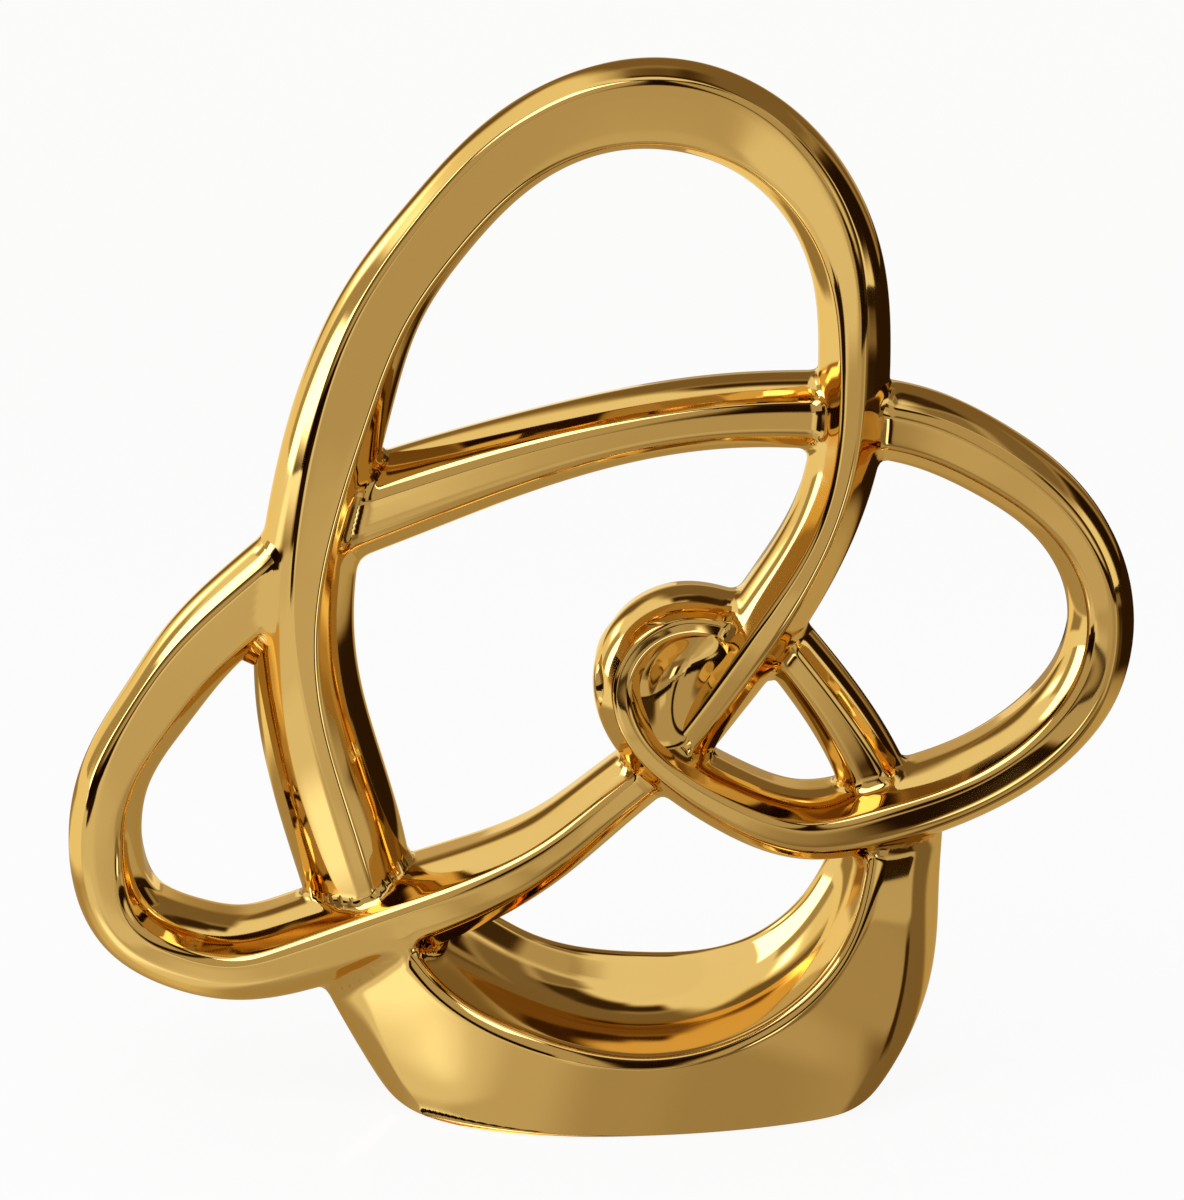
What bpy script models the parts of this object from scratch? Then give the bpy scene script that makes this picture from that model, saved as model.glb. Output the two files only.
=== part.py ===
# Abstract knot sculpture: six slip-cast ceramic castings luted together at the
# crossings of one closed strand, a cradle foot, its vent plug and four foot pads.
# Metres, +Z up, the front of the sculpture faces -Y and the pads rest on z = 0.

import math

import bmesh
import bpy
import numpy as np
from mathutils import Vector

MM = 0.001

# Luted joints: the clearance between a strand's end and the strand that it butts
JOINT_GAP = 0.3 * MM

# Strand section: a hexagon with rounded corners. Its widest line lies before the middle,
# so that the front bevels are shallow and the sides run straight back.
SIDE_FORWARD = 0.35
SIDE_RADIUS = 11.0 * MM
BACK_EDGE_RADIUS = 6.0 * MM
BACK_BEVEL = 2.5 * MM
CORNER_STEPS = 3
RING_SPACING = 6.5 * MM

# Routes of the strands, all clockwise seen from the front. Each station: x, y, z of the
# centre line, width in the front view, depth, outer bevel, inner bevel, rounding of the
# front face's edges (millimetres), and how far that face turns inward (degrees).
TALL_LOOP_ROUTE = (
    (-57.5, -1.0, 44.0, 29.0, 29.0, 16.5, 9.0, 3.0, 4),
    (-62.0, -1.5, 63.5, 30.5, 31.0, 16.5, 10.0, 3.0, 4),
    (-69.5, -2.0, 97.0, 28.0, 33.0, 14.5, 9.5, 2.5, 6),
    (-70.0, -2.2, 119.5, 25.2, 33.6, 10.8, 8.6, 2.0, 8),
    (-66.0, -2.2, 146.0, 24.6, 33.6, 8.5, 7.2, 2.0, 8),
    (-59.5, -2.2, 170.5, 23.7, 33.6, 6.9, 5.2, 2.0, 8),
    (-50.0, -1.8, 194.0, 20.1, 33.4, 5.2, 3.0, 2.0, 8),
    (-37.0, -1.5, 212.0, 18.4, 33.0, 3.8, 2.4, 2.0, 8),
    (-18.0, -1.2, 230.5, 19.0, 32.6, 3.4, 2.4, 2.0, 8),
    (0.5, -1.2, 239.0, 20.3, 32.6, 3.4, 2.4, 2.0, 8),
    (18.0, -1.2, 240.0, 21.3, 32.6, 3.6, 2.6, 2.0, 8),
    (35.0, -1.2, 234.0, 20.4, 32.6, 3.8, 3.2, 2.0, 8),
    (48.5, -1.8, 222.0, 19.0, 32.6, 4.8, 3.6, 2.5, 8),
    (57.5, -2.0, 204.0, 18.2, 33.0, 6.5, 4.4, 3.0, 8),
    (60.0, -2.5, 182.5, 18.0, 34.0, 7.8, 5.0, 4.0, 4),
    (58.5, -2.5, 160.5, 17.9, 34.0, 7.6, 6.0, 5.5, 0),
    (52.5, -2.5, 139.5, 17.3, 34.0, 7.2, 6.2, 6.0, 0),
    (41.0, -2.5, 119.0, 18.6, 34.0, 7.2, 6.2, 6.0, 0),
    (29.0, -1.5, 100.5, 18.2, 30.0, 7.2, 6.2, 6.0, 0),
    (19.0, -1.0, 86.5, 17.8, 26.0, 7.2, 6.3, 6.0, 0),
)
LEFT_LOOP_ROUTE = (
    (16.0, -1.0, 83.0, 15.0, 26.0, 5.3, 4.6, 6.0, 0),
    (2.0, -1.0, 71.5, 16.0, 27.0, 5.8, 4.6, 6.0, 0),
    (-12.0, -2.0, 60.5, 17.4, 30.0, 6.3, 4.6, 6.0, 0),
    (-29.0, -3.0, 51.5, 20.3, 34.0, 7.3, 5.0, 6.0, 0),
    (-49.0, -3.5, 44.0, 22.3, 35.0, 8.2, 5.8, 6.0, 0),
    (-72.5, -3.5, 35.5, 22.8, 35.0, 8.7, 6.3, 6.0, 0),
    (-87.0, -3.5, 32.5, 21.4, 34.0, 8.3, 6.3, 6.0, 0),
    (-100.0, -3.0, 34.5, 21.2, 33.0, 8.3, 6.3, 6.0, 0),
    (-113.0, -3.0, 42.0, 19.7, 32.0, 7.4, 5.4, 5.0, 4),
    (-119.0, -2.2, 61.5, 18.6, 31.6, 6.1, 4.4, 4.0, 8),
    (-115.5, -1.5, 80.0, 17.8, 31.0, 5.0, 4.3, 3.0, 8),
    (-105.5, -0.8, 96.0, 18.7, 29.4, 4.0, 4.8, 2.0, 8),
    (-95.5, -0.3, 109.5, 19.9, 28.4, 4.8, 4.6, 2.0, 8),
    (-82.0, -0.2, 122.5, 20.5, 27.6, 5.4, 4.2, 2.0, 8),
    (-69.5, -0.2, 133.0, 20.9, 27.6, 5.4, 4.2, 2.0, 8),
)
CROSS_BAR_ROUTE = (
    (-66.0, 0.5, 140.0, 24.0, 26.0, 6.6, 6.6, 8.0, 0),
    (-42.5, 0.5, 148.5, 22.5, 26.0, 6.6, 6.6, 8.0, 0),
    (-14.0, 0.5, 158.0, 19.6, 26.0, 6.1, 6.1, 8.0, 0),
    (10.0, 0.5, 164.0, 18.4, 26.0, 6.1, 6.1, 8.0, 0),
    (33.5, 0.5, 167.0, 18.6, 26.0, 6.1, 6.1, 8.0, 0),
    (58.0, 0.5, 167.0, 19.8, 26.0, 6.1, 6.1, 8.0, 0),
)
RIGHT_LOOP_ROUTE = (
    (60.5, 0.5, 166.0, 19.8, 26.0, 5.4, 5.8, 3.0, 8),
    (76.0, 0.5, 163.0, 19.8, 26.0, 5.4, 5.8, 3.0, 8),
    (92.5, 0.5, 155.5, 18.9, 27.0, 5.2, 5.4, 3.0, 8),
    (108.0, 0.5, 144.0, 17.6, 28.0, 5.6, 5.0, 3.0, 8),
    (117.0, 0.0, 130.5, 16.9, 28.0, 6.0, 5.0, 4.0, 8),
    (120.0, 0.0, 116.0, 17.2, 29.0, 6.8, 4.6, 5.0, 8),
    (116.5, -1.0, 101.0, 18.0, 30.0, 6.8, 4.4, 5.0, 4),
    (106.0, -2.0, 88.0, 18.0, 31.0, 6.2, 4.4, 5.0, 0),
    (89.5, -3.0, 77.5, 17.6, 32.0, 6.0, 4.6, 5.0, 0),
    (68.0, -4.0, 70.0, 18.1, 33.0, 6.2, 4.6, 5.0, 0),
    (48.5, -4.0, 67.0, 17.1, 33.0, 6.2, 4.6, 5.0, 0),
    (31.0, -4.0, 73.5, 16.1, 33.0, 5.8, 5.2, 6.0, 0),
    (17.0, -4.0, 83.0, 15.6, 32.0, 5.8, 6.0, 6.0, 0),
    (9.0, -4.0, 93.5, 17.2, 31.0, 5.7, 8.1, 6.0, 0),
    (7.0, -3.0, 104.0, 17.7, 30.0, 5.7, 8.6, 6.0, 0),
    (11.0, -2.0, 113.0, 16.7, 29.0, 5.7, 7.6, 6.0, 0),
    (20.5, -0.5, 117.5, 15.3, 27.0, 5.7, 6.2, 5.0, 0),
    (32.5, 0.5, 115.5, 14.8, 25.0, 5.7, 5.3, 5.0, 0),
    (39.0, 0.5, 113.2, 15.0, 25.0, 5.8, 5.3, 5.0, 0),
)
REAR_LINK_ROUTE = (
    (41.0, 0.5, 115.0, 15.8, 25.0, 5.3, 5.3, 6.0, 0),
    (56.0, 0.5, 95.5, 16.6, 25.0, 5.8, 5.3, 6.0, 0),
    (63.5, 0.5, 83.0, 17.6, 25.0, 5.8, 5.3, 6.0, 0),
    (69.5, 0.5, 69.5, 18.9, 24.0, 6.3, 5.8, 6.0, 0),
)

# Scooped web that closes the eye of the curl: centre, and half sizes across, back and up
CURL_WEB_CENTRE = (16.0 * MM, 1.0 * MM, 104.0 * MM)
CURL_WEB_REACH = (13.0 * MM, 9.0 * MM, 12.0 * MM)
CURL_WEB_SIDES = 24

# Cradle foot, measured from a hub in the middle of its opening. Each rib: angle from
# straight down (degrees, + to the right), radius and depth of the front ridge, slope
# of the face below it, radius and depth of the rear rim and of the dish trough, radius
# of the line where the outer rounding starts, bulge beyond it, half depth at the rear.
CRADLE_HUB = (9.5 * MM, 75.0 * MM)
CRADLE_RIBS = (
    (-63.0, 64.1, -18.2, 0.5, 55.0, 10.5, 63.0, 1.0, 76.0, 14.5, 16.2),
    (-50.0, 63.6, -24.8, 0.44, 50.5, 18.5, 62.0, 3.0, 83.0, 10.5, 25.4),
    (-30.0, 58.6, -34.8, 0.1, 50.5, 25.0, 62.0, 5.0, 92.0, 9.5, 35.4),
    (0.0, 56.5, -40.4, 0.0, 51.0, 28.0, 63.0, 6.0, 88.0, 20.0, 41.9),
    (30.0, 57.8, -35.8, 0.2, 53.0, 25.0, 62.0, 5.0, 89.0, 10.0, 36.4),
    (55.0, 58.5, -27.0, 0.48, 50.0, 18.0, 58.0, 3.0, 77.0, 10.0, 27.6),
    (72.0, 56.6, -21.5, 0.6, 49.0, 13.0, 56.0, 1.0, 68.0, 9.0, 20.5),
    (86.0, 55.5, -15.5, 0.6, 49.0, 8.5, 54.0, 0.0, 66.0, 8.0, 14.5),
)
CRADLE_RIB_SPACING = 4.5
RIDGE_ROUNDING = 3.0 * MM
RIM_ROUNDING = 8.0 * MM
TROUGH_ROUNDING = 11.0 * MM
EDGE_STEPS = 4
FRONT_FACE_STEPS = 3
FRONT_ROUND_STEPS = 5
REAR_SKIRT_TRIM = 0.86
REAR_SKIRT_STEPS = 7
FOOT_RING_WIDTH = 7.0 * MM

# Foot pads stuck in the recess under the cradle
PAD_RADIUS = 5.5 * MM
PAD_THICKNESS = 2.0 * MM
PAD_PROUD = 0.4 * MM
PAD_SPREAD_X = 31.0 * MM
PAD_SPREAD_Y = 17.0 * MM
PAD_SIDES = 32

# Vent hole that lets the kiln gases out, closed by a soft plug
VENT_RADIUS = 4.0 * MM
VENT_DEPTH = 9.0 * MM
PLUG_FLANGE_OVERLAP = 2.5 * MM
PLUG_FLANGE_THICKNESS = 1.0 * MM
PLUG_STEM_LENGTH = 6.0 * MM

# Sizes that follow from the ones above
RECESS_DEPTH = PAD_THICKNESS - PAD_PROUD + JOINT_GAP
RECESS_CEILING = PAD_PROUD + RECESS_DEPTH
CUT_MARGIN = 5.0 * MM
SLAB_REACH = 4 * CRADLE_HUB[1]


def clear_scene():
    for obj in list(bpy.data.objects):
        bpy.data.objects.remove(obj, do_unlink=True)


def make_material(name, color, metallic, roughness):
    material = bpy.data.materials.new(name)
    material.use_nodes = True
    shader = material.node_tree.nodes["Principled BSDF"]
    shader.inputs["Base Color"].default_value = (*color, 1.0)
    shader.inputs["Metallic"].default_value = metallic
    shader.inputs["Roughness"].default_value = roughness
    material.diffuse_color = (*color, 1.0)
    return material


def make_object(name, bm, material, location=(0.0, 0.0, 0.0), parent=None):
    """One object at its own origin; the bmesh is in world coordinates."""
    bmesh.ops.translate(bm, verts=bm.verts, vec=-Vector(location))
    mesh = bpy.data.meshes.new(name)
    bm.to_mesh(mesh)
    bm.free()
    mesh.shade_smooth()
    mesh.set_sharp_from_angle(angle=math.radians(40))
    obj = bpy.data.objects.new(name, mesh)
    bpy.context.scene.collection.objects.link(obj)
    obj.location = location
    obj.parent = parent
    if material:
        mesh.materials.append(material)
    return obj


def make_cutter(name, bm, location=(0.0, 0.0, 0.0)):
    cutter = make_object(name, bm, None, location)
    cutter.hide_render = True
    cutter.display_type = "WIRE"
    return cutter


def add_boolean(obj, operation, other):
    modifier = obj.modifiers.new(f"{operation.lower()} {other.name}", "BOOLEAN")
    modifier.operation = operation
    modifier.solver = "EXACT"
    modifier.object = other


def spline_through(marks, values, places):
    """Natural cubic spline through (mark, value) at each place."""
    steps = np.diff(marks)
    count = len(marks)
    matrix = np.eye(count)
    right = np.zeros_like(values)
    for i in range(1, count - 1):
        matrix[i, i - 1 : i + 2] = (steps[i - 1], 2 * (steps[i - 1] + steps[i]), steps[i])
        slope_after = (values[i + 1] - values[i]) / steps[i]
        slope_before = (values[i] - values[i - 1]) / steps[i - 1]
        right[i] = 6 * (slope_after - slope_before)
    bend = np.linalg.solve(matrix, right)
    span = np.clip(np.searchsorted(marks, places) - 1, 0, count - 2)
    step = steps[span][:, None]
    a = (marks[span + 1] - places)[:, None] / step
    b = 1 - a
    straight = a * values[span] + b * values[span + 1]
    bent = (a**3 - a) * bend[span] + (b**3 - b) * bend[span + 1]
    return straight + bent * step**2 / 6


def loft(rings):
    """Closed bmesh through equal rings of points, each turning left as the rings advance,
    with a flat face at each end."""
    bm = bmesh.new()
    rows = [[bm.verts.new(point) for point in ring] for ring in rings]
    sides = len(rows[0])
    for row, following in zip(rows, rows[1:]):
        for i in range(sides):
            j = (i + 1) % sides
            bm.faces.new((row[i], row[j], following[j], following[i]))
    bm.faces.new(rows[0][::-1])
    bm.faces.new(rows[-1])
    return bm


def rounded_corner(before, corner, after, radius, steps):
    """Arc of a radius that fits the corner, as points from one side to the other."""
    to_before = (before - corner).normalized()
    to_after = (after - corner).normalized()
    half_angle = to_before.angle(to_after) / 2
    shortest = min((before - corner).length, (after - corner).length)
    setback = min(radius / math.tan(half_angle), 0.48 * shortest)
    radius = setback * math.tan(half_angle)
    centre = corner + (to_before + to_after).normalized() * (radius / math.sin(half_angle))
    start = (corner + to_before * setback - centre).normalized()
    end = (corner + to_after * setback - centre).normalized()
    return [centre + start.slerp(end, step / (steps - 1)) * radius for step in range(steps)]


def strand_section(width, depth, outer_bevel, inner_bevel, edge_radius, turn, grow):
    """Outline in (inward, backward) coordinates."""
    half_width = width / 2 + grow
    half_depth = depth / 2 + grow
    side = -half_depth * SIDE_FORWARD
    recess = (width - outer_bevel - inner_bevel) * math.tan(math.radians(turn))
    corners = (
        (half_width - inner_bevel, recess - half_depth, edge_radius),
        (half_width, side, SIDE_RADIUS),
        (half_width - BACK_BEVEL, half_depth, BACK_EDGE_RADIUS),
        (BACK_BEVEL - half_width, half_depth, BACK_EDGE_RADIUS),
        (-half_width, side, SIDE_RADIUS),
        (outer_bevel - half_width, -half_depth, edge_radius),
    )
    points = [Vector((across, back)) for across, back, _ in corners]
    outline = []
    for i, corner in enumerate(points):
        before = points[i - 1]
        after = points[(i + 1) % len(points)]
        outline += rounded_corner(before, corner, after, corners[i][2] + grow, CORNER_STEPS)
    return outline


def strand_rings(route, first=0.0, last=None, grow=0.0):
    """Section rings along a route, from one station to another (counted in stations)."""
    stations = np.array(route)
    stations[:, :-1] *= MM
    chords = np.linalg.norm(np.diff(stations[:, :3], axis=0), axis=1)
    marks = np.concatenate(([0.0], np.cumsum(chords)))
    numbers = np.arange(len(stations))
    last = numbers[-1] if last is None else last
    start, end = np.interp((first, last), numbers, marks)
    places = np.linspace(start, end, max(3, round((end - start) / RING_SPACING) + 1))
    shapes = spline_through(marks, stations, places)
    tiny = RING_SPACING / 100
    ahead = spline_through(marks, stations[:, :3], places + tiny)
    behind = spline_through(marks, stations[:, :3], places - tiny)
    rings = []
    for shape, heading in zip(shapes, ahead - behind):
        forward = Vector(heading).normalized()
        backward = (Vector((0.0, 1.0, 0.0)) - forward * forward.y).normalized()
        inward = backward.cross(forward)
        centre = Vector(shape[:3])
        section = strand_section(*shape[3:], grow)
        rings.append([centre + inward * p.x + backward * p.y for p in section])
    return rings


def make_strand(name, route, material, parent):
    origin = [value * MM for value in route[len(route) // 2][:3]]
    return make_object(name, loft(strand_rings(route)), material, origin, parent)


def butt_against(strand, over_name, route, first, last):
    """Saddle-cuts a strand's end to the strand that passes over it, plus the joint gap."""
    rings = strand_rings(route, first, last, JOINT_GAP)
    cutter = make_cutter(f"{strand.name}_cut_at_{over_name}_{round(first)}", loft(rings))
    add_boolean(strand, "DIFFERENCE", cutter)


def make_right_loop(material, parent):
    """Loop and curl; a lens-shaped web, cut clear of the tall loop, closes the curl's eye."""
    loop = make_strand("right_loop", RIGHT_LOOP_ROUTE, material, parent)
    bm = bmesh.new()
    bmesh.ops.create_uvsphere(
        bm, u_segments=CURL_WEB_SIDES, v_segments=CURL_WEB_SIDES // 2, radius=1.0
    )
    bmesh.ops.scale(bm, verts=bm.verts, vec=CURL_WEB_REACH)
    bmesh.ops.translate(bm, verts=bm.verts, vec=CURL_WEB_CENTRE)
    web = make_cutter("curl_web", bm)
    butt_against(web, "tall_loop", TALL_LOOP_ROUTE, 16.2, 19.0)
    add_boolean(loop, "UNION", web)
    return loop


def bezier_corner(before, corner, after, steps):
    places = [step / (steps - 1) for step in range(steps)]
    return [before * (1 - t) ** 2 + corner * 2 * t * (1 - t) + after * t**2 for t in places]


def toward(start, target, distance):
    """Point on the way from start to target, at most halfway."""
    way = target - start
    return start + way.normalized() * min(distance, 0.45 * way.length)


def front_skirt(ridge, slope, widest, bulge):
    """Straight face that slopes back from the ridge, closed by a quarter ellipse."""
    start = ridge.x + RIDGE_ROUNDING
    points = []
    for step in range(FRONT_FACE_STEPS):
        across = start + (widest - start) * step / FRONT_FACE_STEPS
        points.append(Vector((across, ridge.y + slope * (across - ridge.x))))
    for step in range(FRONT_ROUND_STEPS):
        angle = math.pi / 2 * (1 - step / (FRONT_ROUND_STEPS - 1))
        across = widest + bulge * math.cos(angle)
        depth = ridge.y + slope * (across - ridge.x)
        points.append(Vector((across, depth * math.sin(angle))))
    return points


def rear_skirt(rim, widest, bulge, half_depth):
    """Quarter from the rear rim round the widest line to the outermost point: two half
    ellipses that share a depth, so the skirt passes the widest line without a crease."""
    turn = math.pi - math.asin(min(rim.y / half_depth, 0.999))
    inner_axis = (widest - rim.x) / -math.cos(turn)
    points = []
    for step in range(REAR_SKIRT_STEPS):
        angle = turn * REAR_SKIRT_TRIM * (1 - step / (REAR_SKIRT_STEPS - 1))
        axis = bulge if math.cos(angle) > 0 else inner_axis
        points.append(Vector((widest + axis * math.cos(angle), half_depth * math.sin(angle))))
    return points


def cradle_section(rib, inset):
    """Outline in (radius, backward) coordinates: skirt, rear rim, dish, front ridge."""
    ridge = Vector((rib[0], rib[1] + inset))
    slope = rib[2]
    rim = Vector(rib[3:5])
    trough = Vector(rib[5:7])
    widest, bulge, half_depth = rib[7] - inset, rib[8], rib[9] - inset
    rim.y = min(rim.y, 0.98 * half_depth)
    front = front_skirt(ridge, slope, widest, bulge)
    rear = rear_skirt(rim, widest, bulge, half_depth)[::-1]
    ridge_start = toward(ridge, trough, RIDGE_ROUNDING)
    outline = bezier_corner(ridge_start, ridge, front[0], EDGE_STEPS)[:-1]
    outline += front + rear[1:]
    rim_end = toward(rim, trough, RIM_ROUNDING)
    outline += bezier_corner(rear[-1], rim, rim_end, EDGE_STEPS)[1:]
    dish_rear = toward(trough, rim, TROUGH_ROUNDING)
    dish_front = toward(trough, ridge, TROUGH_ROUNDING)
    outline += bezier_corner(dish_rear, trough, dish_front, EDGE_STEPS)
    return outline


def cradle_rings(inset=0.0):
    ribs = np.array(CRADLE_RIBS)
    ribs[:, [1, 2, 4, 5, 6, 7, 8, 9, 10]] *= MM
    count = round((ribs[-1, 0] - ribs[0, 0]) / CRADLE_RIB_SPACING) + 1
    angles = np.linspace(ribs[0, 0], ribs[-1, 0], count)
    shapes = spline_through(ribs[:, 0], ribs[:, 1:], angles)
    hub = Vector((CRADLE_HUB[0], 0.0, CRADLE_HUB[1]))
    rings = []
    for angle, shape in zip(np.radians(angles), shapes):
        outward = Vector((math.sin(angle), 0.0, -math.cos(angle)))
        section = cradle_section(shape, inset)
        rings.append([hub + outward * p.x + Vector((0.0, p.y, 0.0)) for p in section])
    return rings


def slab(low_z, high_z):
    """Box wider than the cradle between two heights."""
    bm = bmesh.new()
    bmesh.ops.create_cube(bm, size=1.0)
    bmesh.ops.scale(bm, verts=bm.verts, vec=(SLAB_REACH, SLAB_REACH, high_z - low_z))
    bmesh.ops.translate(bm, verts=bm.verts, vec=(0.0, 0.0, (low_z + high_z) / 2))
    return bm


def cylinder(radius, low_z, high_z, x, y, sides=PAD_SIDES):
    bm = bmesh.new()
    bmesh.ops.create_cone(
        bm,
        cap_ends=True,
        segments=sides,
        radius1=radius,
        radius2=radius,
        depth=high_z - low_z,
    )
    bmesh.ops.translate(bm, verts=bm.verts, vec=(x, y, (low_z + high_z) / 2))
    return bm


def make_cradle(material, parent):
    """Crescent foot: cut flat underneath, with a foot ring, a recess and a vent hole."""
    cradle = make_object("base_cradle", loft(cradle_rings()), material, parent=parent)
    below = make_cutter("below_foot_cut", slab(-2 * CRADLE_HUB[1], PAD_PROUD))
    add_boolean(cradle, "DIFFERENCE", below)
    recess = make_cutter("recess_cut", loft(cradle_rings(FOOT_RING_WIDTH)))
    layer = make_cutter("recess_layer", slab(-CUT_MARGIN, RECESS_CEILING))
    add_boolean(recess, "INTERSECT", layer)
    add_boolean(cradle, "DIFFERENCE", recess)
    vent = cylinder(VENT_RADIUS, 0.0, RECESS_CEILING + VENT_DEPTH, CRADLE_HUB[0], 0.0)
    add_boolean(cradle, "DIFFERENCE", make_cutter("vent_cut", vent))
    return cradle


def make_vent_plug(material, parent):
    """Stem in the vent hole and a flange over its edge, revolved from one profile."""
    top = RECESS_CEILING - JOINT_GAP
    stem = VENT_RADIUS - JOINT_GAP
    flange = VENT_RADIUS + PLUG_FLANGE_OVERLAP
    flange_low = top - PLUG_FLANGE_THICKNESS
    stem_high = top + PLUG_STEM_LENGTH
    profile = (
        (0, flange_low),
        (flange, flange_low),
        (flange, top),
        (stem, top),
        (stem, stem_high),
        (0, stem_high),
    )
    bm = bmesh.new()
    verts = [bm.verts.new((CRADLE_HUB[0] + radius, 0.0, z)) for radius, z in profile]
    edges = [bm.edges.new(pair) for pair in zip(verts, verts[1:])]
    bmesh.ops.spin(
        bm,
        geom=verts + edges,
        cent=(CRADLE_HUB[0], 0.0, 0.0),
        axis=(0.0, 0.0, 1.0),
        angle=math.tau,
        steps=PAD_SIDES,
    )
    bmesh.ops.remove_doubles(bm, verts=bm.verts, dist=0.01 * MM)
    bmesh.ops.recalc_face_normals(bm, faces=bm.faces)
    return make_object("vent_plug", bm, material, (CRADLE_HUB[0], 0.0, top), parent)


def make_foot_pads(material, parent):
    number = 0
    for side in (-1, 1):
        for end in (-1, 1):
            number += 1
            x = CRADLE_HUB[0] + end * PAD_SPREAD_X
            y = side * PAD_SPREAD_Y
            bm = cylinder(PAD_RADIUS, 0.0, PAD_THICKNESS, x, y)
            make_object(f"foot_pad_{number}", bm, material, (x, y, 0.0), parent)


def gold(name):
    return make_material(name, (0.62, 0.36, 0.10), 1.0, 0.06)


def main():
    clear_scene()
    root = bpy.data.objects.new("sculpture", None)
    bpy.context.scene.collection.objects.link(root)

    tall = make_strand("tall_loop", TALL_LOOP_ROUTE, gold("gold_lustre_tall_loop"), root)
    left = make_strand("left_loop", LEFT_LOOP_ROUTE, gold("gold_lustre_left_loop"), root)
    bar = make_strand("cross_bar", CROSS_BAR_ROUTE, gold("gold_lustre_cross_bar"), root)
    right = make_right_loop(gold("gold_lustre_right_loop"), root)
    link = make_strand("rear_link", REAR_LINK_ROUTE, gold("gold_lustre_rear_link"), root)
    cradle = make_cradle(gold("gold_lustre_cradle"), root)

    # Foot of the tall loop and left arm of the cradle, under the left loop
    butt_against(tall, "left_loop", LEFT_LOOP_ROUTE, 2.5, 6.3)
    butt_against(cradle, "left_loop", LEFT_LOOP_ROUTE, 2.2, 6.3)
    # Left loop and cross bar, under the tall loop's left limb
    butt_against(left, "tall_loop", TALL_LOOP_ROUTE, 2.0, 5.5)
    butt_against(bar, "tall_loop", TALL_LOOP_ROUTE, 2.6, 5.5)
    # Cross bar and right loop, under the tall loop's right limb
    butt_against(bar, "tall_loop", TALL_LOOP_ROUTE, 13.5, 16.5)
    butt_against(right, "tall_loop", TALL_LOOP_ROUTE, 13.5, 16.5)
    # Curl's tip and rear link, under the tall loop's right limb further down
    butt_against(right, "tall_loop", TALL_LOOP_ROUTE, 16.2, 18.4)
    butt_against(link, "tall_loop", TALL_LOOP_ROUTE, 16.2, 18.6)
    # Tall loop's end and left loop's end, under the curl
    butt_against(tall, "right_loop", RIGHT_LOOP_ROUTE, 10.5, 14.0)
    butt_against(left, "right_loop", RIGHT_LOOP_ROUTE, 10.5, 14.0)
    # Rear link and right arm of the cradle, under the right loop
    butt_against(link, "right_loop", RIGHT_LOOP_ROUTE, 7.5, 10.8)
    butt_against(cradle, "right_loop", RIGHT_LOOP_ROUTE, 7.5, 10.8)

    make_vent_plug(make_material("plug_silicone", (0.75, 0.73, 0.68), 0.0, 0.6), root)
    make_foot_pads(make_material("pad_eva_foam", (0.03, 0.03, 0.03), 0.0, 0.85), root)


main()
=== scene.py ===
import math

import bpy
import numpy as np
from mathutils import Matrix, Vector


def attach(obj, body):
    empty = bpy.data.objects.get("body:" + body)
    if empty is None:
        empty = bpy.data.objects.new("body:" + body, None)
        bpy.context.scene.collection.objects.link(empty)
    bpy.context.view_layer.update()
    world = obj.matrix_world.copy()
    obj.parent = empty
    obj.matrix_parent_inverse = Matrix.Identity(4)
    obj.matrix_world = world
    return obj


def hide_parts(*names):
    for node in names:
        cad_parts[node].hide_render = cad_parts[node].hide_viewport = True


# Gold-lustred ceramic knot on a crescent foot. Shapes are worked out in millimetres
# and written to the meshes in metres.

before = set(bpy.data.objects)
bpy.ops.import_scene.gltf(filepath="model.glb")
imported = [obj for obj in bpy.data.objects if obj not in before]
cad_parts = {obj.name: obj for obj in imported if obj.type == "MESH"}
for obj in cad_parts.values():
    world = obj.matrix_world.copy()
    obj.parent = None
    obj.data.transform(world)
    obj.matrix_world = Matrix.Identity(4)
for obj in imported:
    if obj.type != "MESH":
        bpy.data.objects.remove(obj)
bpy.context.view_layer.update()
mm = 0.001


# ---------- small helpers ----------

def hexToLinear(code):  # "#rrggbb" in sRGB to linear red, green, blue and alpha 1
    parts = [int(code[i:i + 2], 16) / 255 for i in (1, 3, 5)]
    linear = [c / 12.92 if c <= 0.04045 else ((c + 0.055) / 1.055) ** 2.4 for c in parts]
    return (*linear, 1.0)


def addNode(tree, kind, settings=None, links=None):  # node with its settings, inputs and links
    node = tree.nodes.new(kind)
    for name, value in (settings or {}).items():
        if isinstance(name, str) and hasattr(node, name):
            setattr(node, name, value)
        else:
            node.inputs[name].default_value = value
    for name, socket in (links or {}).items():
        tree.links.new(socket, node.inputs[name])
    return node


def newTree(owner):  # an empty node tree for a material or a world
    owner.use_nodes = True
    owner.node_tree.nodes.clear()
    return owner.node_tree


def unit(vectors):
    return vectors / np.maximum(np.linalg.norm(vectors, axis=-1, keepdims=True), 1e-12)


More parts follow.
